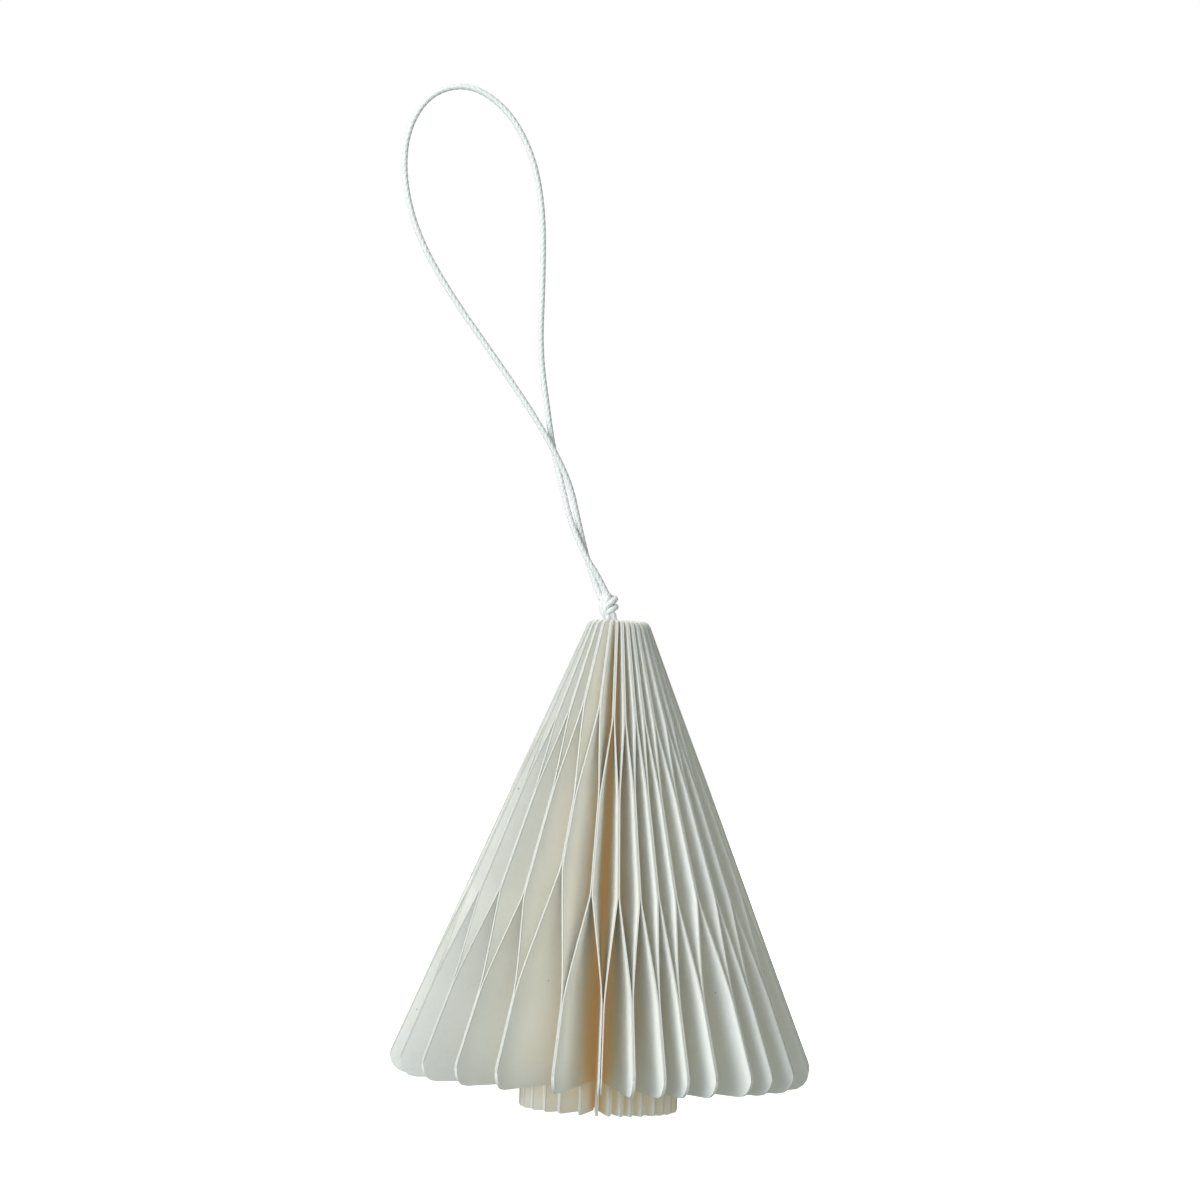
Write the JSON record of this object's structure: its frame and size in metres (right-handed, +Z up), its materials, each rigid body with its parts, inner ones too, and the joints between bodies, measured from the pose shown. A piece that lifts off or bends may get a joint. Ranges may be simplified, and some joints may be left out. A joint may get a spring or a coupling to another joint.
{
  "type": "hanging paper ornament",
  "caption": "Hanging paper tree ornament: die-cut leaves bound at a round core fan out to a full circle and fold back to a flat stack, with a knotted cord loop on top.",
  "frame": {"origin": "on the tree's axis at the bottom of the trunk", "axes": "+Z up along the tree's axis to the knot, -Y to the front seam where the fan closes, +X to the right seen from the front"},
  "size_m": [0.0737, 0.0695, 0.168],
  "materials": {
    "paper": "uncoated heavy white paper, matt with a fine tooth",
    "cord": "white twisted cotton, lightly waxed",
    "adhesive": "matt self-adhesive strip"
  },
  "bodies": {
    "back_pair": {"leaf_30": "paper", "leaf_31": "paper", "hanging_cord": "cord", "cord_knot": "cord", "cord_tails": "cord"},
    "right_end_leaf": {"leaf_01": "paper"},
    "pair_01": {"leaf_02": "paper", "leaf_03": "paper"},
    "pair_02": {"leaf_04": "paper", "leaf_05": "paper"},
    "pair_03": {"leaf_06": "paper", "leaf_07": "paper"},
    "pair_04": {"leaf_08": "paper", "leaf_09": "paper"},
    "pair_05": {"leaf_10": "paper", "leaf_11": "paper"},
    "pair_06": {"leaf_12": "paper", "leaf_13": "paper"},
    "pair_07": {"leaf_14": "paper", "leaf_15": "paper"},
    "pair_08": {"leaf_16": "paper", "leaf_17": "paper"},
    "pair_09": {"leaf_18": "paper", "leaf_19": "paper"},
    "pair_10": {"leaf_20": "paper", "leaf_21": "paper"},
    "pair_11": {"leaf_22": "paper", "leaf_23": "paper"},
    "pair_12": {"leaf_24": "paper", "leaf_25": "paper"},
    "pair_13": {"leaf_26": "paper", "leaf_27": "paper"},
    "pair_14": {"leaf_28": "paper", "leaf_29": "paper"},
    "pair_16": {"leaf_32": "paper", "leaf_33": "paper"},
    "pair_17": {"leaf_34": "paper", "leaf_35": "paper"},
    "pair_18": {"leaf_36": "paper", "leaf_37": "paper"},
    "pair_19": {"leaf_38": "paper", "leaf_39": "paper"},
    "pair_20": {"leaf_40": "paper", "leaf_41": "paper"},
    "pair_21": {"leaf_42": "paper", "leaf_43": "paper"},
    "pair_22": {"leaf_44": "paper", "leaf_45": "paper"},
    "pair_23": {"leaf_46": "paper", "leaf_47": "paper"},
    "pair_24": {"leaf_48": "paper", "leaf_49": "paper"},
    "pair_25": {"leaf_50": "paper", "leaf_51": "paper"},
    "pair_26": {"leaf_52": "paper", "leaf_53": "paper"},
    "pair_27": {"leaf_54": "paper", "leaf_55": "paper"},
    "left_end_leaf": {"leaf_56": "paper", "closing_strips": "adhesive"}
  },
  "joints": [
    {"name": "fan_fold", "type": "hinge", "parent": "back_pair", "child": "right_end_leaf", "pos_m": [0.00392, 0.00002, 0.04], "axis": [0, 0, 1], "range_deg": [0, 180]},
    {"name": "fold_01", "type": "hinge", "parent": "back_pair", "child": "pair_01", "pos_m": [0.00373, 0.00029, 0.04], "axis": [0, 0, 1], "range_deg": [0, 171.41]},
    {"name": "fold_02", "type": "hinge", "parent": "back_pair", "child": "pair_02", "pos_m": [0.00356, 0.00052, 0.04], "axis": [0, 0, 1], "range_deg": [0, 163.41]},
    {"name": "fold_03", "type": "hinge", "parent": "back_pair", "child": "pair_03", "pos_m": [0.00342, 0.00069, 0.04], "axis": [0, 0, 1], "range_deg": [0, 157.31]},
    {"name": "fold_04", "type": "hinge", "parent": "back_pair", "child": "pair_04", "pos_m": [0.00324, 0.00092, 0.04], "axis": [0, 0, 1], "range_deg": [0, 149.01]},
    {"name": "fold_05", "type": "hinge", "parent": "back_pair", "child": "pair_05", "pos_m": [0.00297, 0.0012, 0.04], "axis": [0, 0, 1], "range_deg": [0, 137.01]},
    {"name": "fold_06", "type": "hinge", "parent": "back_pair", "child": "pair_06", "pos_m": [0.00278, 0.00139, 0.04], "axis": [0, 0, 1], "range_deg": [0, 128.61]},
    {"name": "fold_07", "type": "hinge", "parent": "back_pair", "child": "pair_07", "pos_m": [0.00251, 0.00161, 0.04], "axis": [0, 0, 1], "range_deg": [0, 117.01]},
    {"name": "fold_08", "type": "hinge", "parent": "back_pair", "child": "pair_08", "pos_m": [0.00219, 0.00183, 0.04], "axis": [0, 0, 1], "range_deg": [0, 102.01]},
    {"name": "fold_09", "type": "hinge", "parent": "back_pair", "child": "pair_09", "pos_m": [0.00187, 0.00202, 0.04], "axis": [0, 0, 1], "range_deg": [0, 87.44]},
    {"name": "fold_10", "type": "hinge", "parent": "back_pair", "child": "pair_10", "pos_m": [0.00156, 0.00217, 0.04], "axis": [0, 0, 1], "range_deg": [0, 72.87]},
    {"name": "fold_11", "type": "hinge", "parent": "back_pair", "child": "pair_11", "pos_m": [0.00124, 0.00229, 0.04], "axis": [0, 0, 1], "range_deg": [0, 58.3]},
    {"name": "fold_12", "type": "hinge", "parent": "back_pair", "child": "pair_12", "pos_m": [0.00093, 0.00238, 0.04], "axis": [0, 0, 1], "range_deg": [0, 43.72]},
    {"name": "fold_13", "type": "hinge", "parent": "back_pair", "child": "pair_13", "pos_m": [0.00061, 0.00245, 0.04], "axis": [0, 0, 1], "range_deg": [0, 29.15]},
    {"name": "fold_14", "type": "hinge", "parent": "back_pair", "child": "pair_14", "pos_m": [0.0003, 0.00248, 0.04], "axis": [0, 0, 1], "range_deg": [0, 14.58]},
    {"name": "fold_16", "type": "hinge", "parent": "back_pair", "child": "pair_16", "pos_m": [-0.0003, 0.00248, 0.04], "axis": [0, 0, 1], "range_deg": [-13.72, 0]},
    {"name": "fold_17", "type": "hinge", "parent": "back_pair", "child": "pair_17", "pos_m": [-0.0006, 0.00245, 0.04], "axis": [0, 0, 1], "range_deg": [-27.44, 0]},
    {"name": "fold_18", "type": "hinge", "parent": "back_pair", "child": "pair_18", "pos_m": [-0.0009, 0.00239, 0.04], "axis": [0, 0, 1], "range_deg": [-41.15, 0]},
    {"name": "fold_19", "type": "hinge", "parent": "back_pair", "child": "pair_19", "pos_m": [-0.0012, 0.0023, 0.04], "axis": [0, 0, 1], "range_deg": [-54.87, 0]},
    {"name": "fold_20", "type": "hinge", "parent": "back_pair", "child": "pair_20", "pos_m": [-0.00149, 0.00219, 0.04], "axis": [0, 0, 1], "range_deg": [-68.58, 0]},
    {"name": "fold_21", "type": "hinge", "parent": "back_pair", "child": "pair_21", "pos_m": [-0.00179, 0.00205, 0.04], "axis": [0, 0, 1], "range_deg": [-82.3, 0]},
    {"name": "fold_22", "type": "hinge", "parent": "back_pair", "child": "pair_22", "pos_m": [-0.00209, 0.00188, 0.04], "axis": [0, 0, 1], "range_deg": [-96.01, 0]},
    {"name": "fold_23", "type": "hinge", "parent": "back_pair", "child": "pair_23", "pos_m": [-0.00239, 0.00168, 0.04], "axis": [0, 0, 1], "range_deg": [-109.81, 0]},
    {"name": "fold_24", "type": "hinge", "parent": "back_pair", "child": "pair_24", "pos_m": [-0.0027, 0.00144, 0.04], "axis": [0, 0, 1], "range_deg": [-124.01, 0]},
    {"name": "fold_25", "type": "hinge", "parent": "back_pair", "child": "pair_25", "pos_m": [-0.003, 0.00116, 0.04], "axis": [0, 0, 1], "range_deg": [-137.91, 0]},
    {"name": "fold_26", "type": "hinge", "parent": "back_pair", "child": "pair_26", "pos_m": [-0.00329, 0.00085, 0.04], "axis": [0, 0, 1], "range_deg": [-151.21, 0]},
    {"name": "fold_27", "type": "hinge", "parent": "back_pair", "child": "pair_27", "pos_m": [-0.00364, 0.00042, 0.04], "axis": [0, 0, 1], "range_deg": [-167.51, 0]},
    {"name": "fold_28", "type": "hinge", "parent": "back_pair", "child": "left_end_leaf", "pos_m": [-0.00392, 0.00002, 0.04], "axis": [0, 0, 1], "range_deg": [-180.01, 0]}
  ],
  "couplings": [
    {"joint": "fold_01", "follows": "fan_fold", "ratio": 0.95222},
    {"joint": "fold_02", "follows": "fan_fold", "ratio": 0.90778},
    {"joint": "fold_03", "follows": "fan_fold", "ratio": 0.87389},
    {"joint": "fold_04", "follows": "fan_fold", "ratio": 0.82778},
    {"joint": "fold_05", "follows": "fan_fold", "ratio": 0.76111},
    {"joint": "fold_06", "follows": "fan_fold", "ratio": 0.71444},
    {"joint": "fold_07", "follows": "fan_fold", "ratio": 0.65},
    {"joint": "fold_08", "follows": "fan_fold", "ratio": 0.56667},
    {"joint": "fold_09", "follows": "fan_fold", "ratio": 0.48571},
    {"joint": "fold_10", "follows": "fan_fold", "ratio": 0.40476},
    {"joint": "fold_11", "follows": "fan_fold", "ratio": 0.32381},
    {"joint": "fold_12", "follows": "fan_fold", "ratio": 0.24286},
    {"joint": "fold_13", "follows": "fan_fold", "ratio": 0.1619},
    {"joint": "fold_14", "follows": "fan_fold", "ratio": 0.080952},
    {"joint": "fold_16", "follows": "fan_fold", "ratio": -0.076191},
    {"joint": "fold_17", "follows": "fan_fold", "ratio": -0.15238},
    {"joint": "fold_18", "follows": "fan_fold", "ratio": -0.22857},
    {"joint": "fold_19", "follows": "fan_fold", "ratio": -0.30476},
    {"joint": "fold_20", "follows": "fan_fold", "ratio": -0.38095},
    {"joint": "fold_21", "follows": "fan_fold", "ratio": -0.45714},
    {"joint": "fold_22", "follows": "fan_fold", "ratio": -0.53333},
    {"joint": "fold_23", "follows": "fan_fold", "ratio": -0.61},
    {"joint": "fold_24", "follows": "fan_fold", "ratio": -0.68889},
    {"joint": "fold_25", "follows": "fan_fold", "ratio": -0.76611},
    {"joint": "fold_26", "follows": "fan_fold", "ratio": -0.84},
    {"joint": "fold_27", "follows": "fan_fold", "ratio": -0.93056},
    {"joint": "fold_28", "follows": "fan_fold", "ratio": -1}
  ]
}
